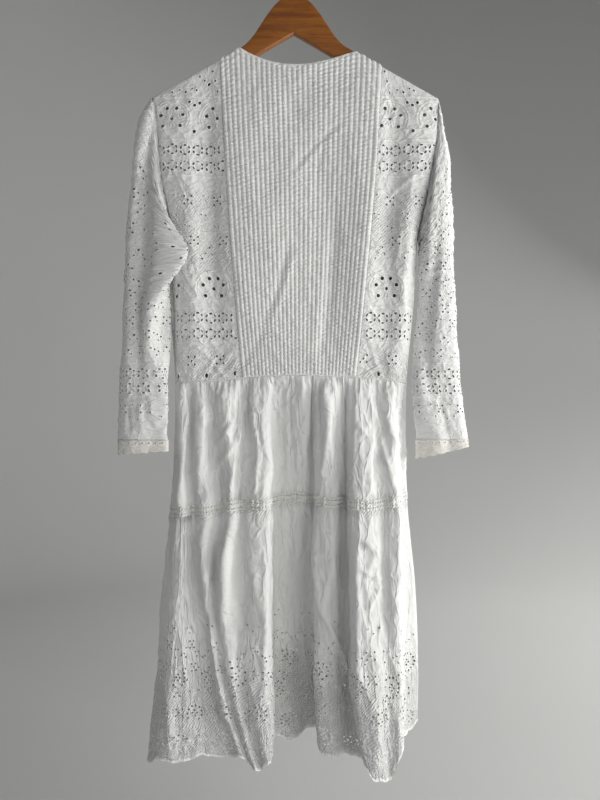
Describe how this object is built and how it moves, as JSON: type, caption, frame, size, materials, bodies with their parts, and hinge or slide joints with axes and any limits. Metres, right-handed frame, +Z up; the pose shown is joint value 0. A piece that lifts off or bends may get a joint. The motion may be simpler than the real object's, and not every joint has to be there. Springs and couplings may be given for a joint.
{
  "type": "maxi dress on a wooden hanger",
  "caption": "Long-sleeved tiered cotton dress with tucked and eyelet panels, hanging flat on a wooden hanger.",
  "frame": {"origin": "inside top of the hanger's hook, where a rail or peg carries it", "axes": "+Z up along the dress, -Y out of its back, the side with the shallow neckline, +X to the right of someone facing that side"},
  "size_m": [0.5637, 0.1673, 1.3019],
  "materials": {
    "tucked_lawn": "matt white cotton lawn sewn in narrow tucks",
    "eyelet_cotton": "matt white broderie cotton",
    "skirt_cotton": "matt white crumpled cotton lawn with an embroidered border",
    "ladder_lace": "off-white ladder insertion",
    "cotton_binding": "folded white cotton strip",
    "varnished_wood": "amber brown varnish, semi-gloss",
    "plated_steel": "nickel plated wire"
  },
  "bodies": {
    "root": {"back_centre_panel": "tucked_lawn", "back_side_left": "eyelet_cotton", "back_side_right": "eyelet_cotton", "front_centre_panel": "tucked_lawn", "front_side_left": "eyelet_cotton", "front_side_right": "eyelet_cotton", "neck_binding_back": "cotton_binding", "neck_binding_front": "cotton_binding", "waist_cord": "cotton_binding", "skirt_upper_back": "skirt_cotton", "skirt_upper_front": "skirt_cotton", "tier_lace_back": "ladder_lace", "tier_lace_front": "ladder_lace", "skirt_lower_back": "skirt_cotton", "skirt_lower_front": "skirt_cotton", "sleeve_left": "eyelet_cotton", "sleeve_right": "eyelet_cotton", "cuff_left": "cotton_binding", "cuff_right": "cotton_binding", "hanger_arm_left": "varnished_wood", "hanger_arm_right": "varnished_wood", "hanger_hook": "plated_steel"}
  },
  "joints": []
}
